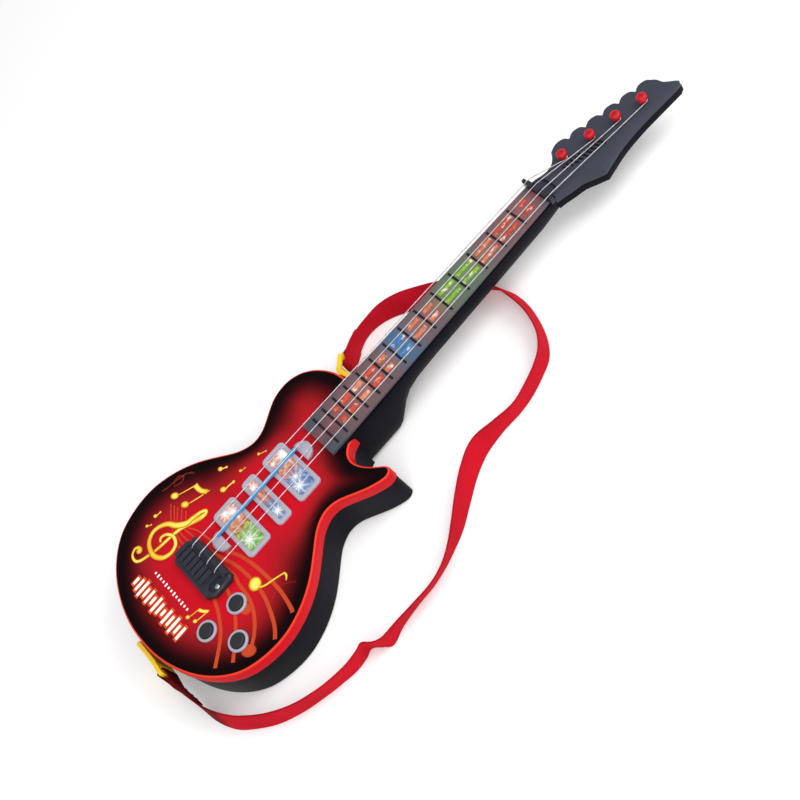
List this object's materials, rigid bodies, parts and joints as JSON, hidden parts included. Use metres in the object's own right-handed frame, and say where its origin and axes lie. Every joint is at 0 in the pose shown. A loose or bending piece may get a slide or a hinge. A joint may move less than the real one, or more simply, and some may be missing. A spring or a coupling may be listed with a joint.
{
  "type": "toy electric guitar",
  "caption": "Battery toy guitar: single-cutaway body, light-up windows and fretboard, push buttons, turning string posts, webbing strap.",
  "frame": {"origin": "on the surface the guitar lies on, under the middle of its length and width, strap not counted", "axes": "+X to the cutaway side, +Y to the headstock, +Z out of the face"},
  "size_m": [0.2231, 0.5464, 0.0481],
  "materials": {
    "red_plastic": "glossy red ABS, with a printed face",
    "black_plastic": "satin blue-black ABS",
    "smoky_plastic": "smoky translucent plastic",
    "circuit_board": "green fibre board",
    "string_steel": "bright steel wire",
    "post_plastic": "glossy red plastic",
    "grey_plastic": "lilac-grey plastic",
    "clear_plastic": "clear faceted plastic",
    "blue_plastic": "translucent blue plastic",
    "rubber_mat": "grey silicone",
    "speaker_metal": "speaker frame; aluminium stands in for its mean density",
    "cell_wrap": "cell wrapper; aluminium stands in for a cell's mean density",
    "zinc_steel": "zinc-plated steel",
    "wire": "red wire insulation",
    "tab_plastic": "yellow flexible plastic",
    "webbing": "red polypropylene webbing"
  },
  "bodies": {
    "guitar": {"front_shell": "red_plastic", "back_shell": "black_plastic", "neck_shell": "black_plastic", "headstock_cover": "black_plastic", "nut": "black_plastic", "bridge": "black_plastic", "battery_tray": "black_plastic", "fretboard_cover": "smoky_plastic", "neck_light_board": "circuit_board", "main_board": "circuit_board", "window_light_board": "circuit_board", "string_1": "string_steel", "string_2": "string_steel", "string_3": "string_steel", "string_4": "string_steel", "window_bezel_upper": "grey_plastic", "window_bezel_middle": "grey_plastic", "window_bezel_lower": "grey_plastic", "rod_block_upper": "grey_plastic", "rod_block_lower": "grey_plastic", "button_ring_1": "grey_plastic", "button_ring_2": "grey_plastic", "button_ring_3": "grey_plastic", "window_lens_upper": "clear_plastic", "window_lens_middle": "clear_plastic", "window_lens_lower": "clear_plastic", "light_rod": "blue_plastic", "button_mat": "rubber_mat", "speaker": "speaker_metal", "battery_1": "cell_wrap", "battery_2": "cell_wrap", "battery_3": "cell_wrap", "battery_contact_tail": "zinc_steel", "battery_contact_head": "zinc_steel", "power_switch_body": "zinc_steel", "case_screw_1": "zinc_steel", "case_screw_2": "zinc_steel", "case_screw_3": "zinc_steel", "case_screw_4": "zinc_steel", "case_screw_5": "zinc_steel", "neck_screw_1": "zinc_steel", "neck_screw_2": "zinc_steel", "bridge_screw": "zinc_steel", "tab_screw_tail": "zinc_steel", "tab_screw_shoulder": "zinc_steel", "neck_wire": "wire", "strap_tab_tail": "tab_plastic", "strap_tab_shoulder": "tab_plastic", "strap": "webbing"},
    "button_1": {"button_cap_1": "black_plastic"},
    "button_2": {"button_cap_2": "black_plastic"},
    "button_3": {"button_cap_3": "black_plastic"},
    "post_1": {"string_post_1": "post_plastic"},
    "post_2": {"string_post_2": "post_plastic"},
    "post_3": {"string_post_3": "post_plastic"},
    "post_4": {"string_post_4": "post_plastic"},
    "cover": {"battery_cover": "black_plastic", "battery_cover_screw": "zinc_steel"},
    "switch": {"power_switch_knob": "grey_plastic"}
  },
  "joints": [
    {"name": "press_button_1", "type": "slide", "parent": "guitar", "child": "button_1", "axis": [0, 0, -1], "range_m": [0, 0.0015], "stiffness_N_per_m": 400},
    {"name": "press_button_2", "type": "slide", "parent": "guitar", "child": "button_2", "axis": [0, 0, -1], "range_m": [0, 0.0015], "stiffness_N_per_m": 400},
    {"name": "press_button_3", "type": "slide", "parent": "guitar", "child": "button_3", "axis": [0, 0, -1], "range_m": [0, 0.0015], "stiffness_N_per_m": 400},
    {"name": "turn_post_1", "type": "hinge", "parent": "guitar", "child": "post_1", "pos_m": [-0.004, 0.1825, 0.04], "axis": [0, 0, 1], "continuous": true},
    {"name": "turn_post_2", "type": "hinge", "parent": "guitar", "child": "post_2", "pos_m": [0.0028, 0.205, 0.04], "axis": [0, 0, 1], "continuous": true},
    {"name": "turn_post_3", "type": "hinge", "parent": "guitar", "child": "post_3", "pos_m": [0.0089, 0.226, 0.04], "axis": [0, 0, 1], "continuous": true},
    {"name": "turn_post_4", "type": "hinge", "parent": "guitar", "child": "post_4", "pos_m": [0.0158, 0.2465, 0.04], "axis": [0, 0, 1], "continuous": true},
    {"name": "open_battery_cover", "type": "hinge", "parent": "guitar", "child": "cover", "pos_m": [0, -0.2431, 0.0004], "axis": [-1, 0, 0], "range_deg": [0, 80]},
    {"name": "slide_power_switch", "type": "slide", "parent": "guitar", "child": "switch", "axis": [0, 1, 0], "range_m": [0, 0.004]}
  ]
}
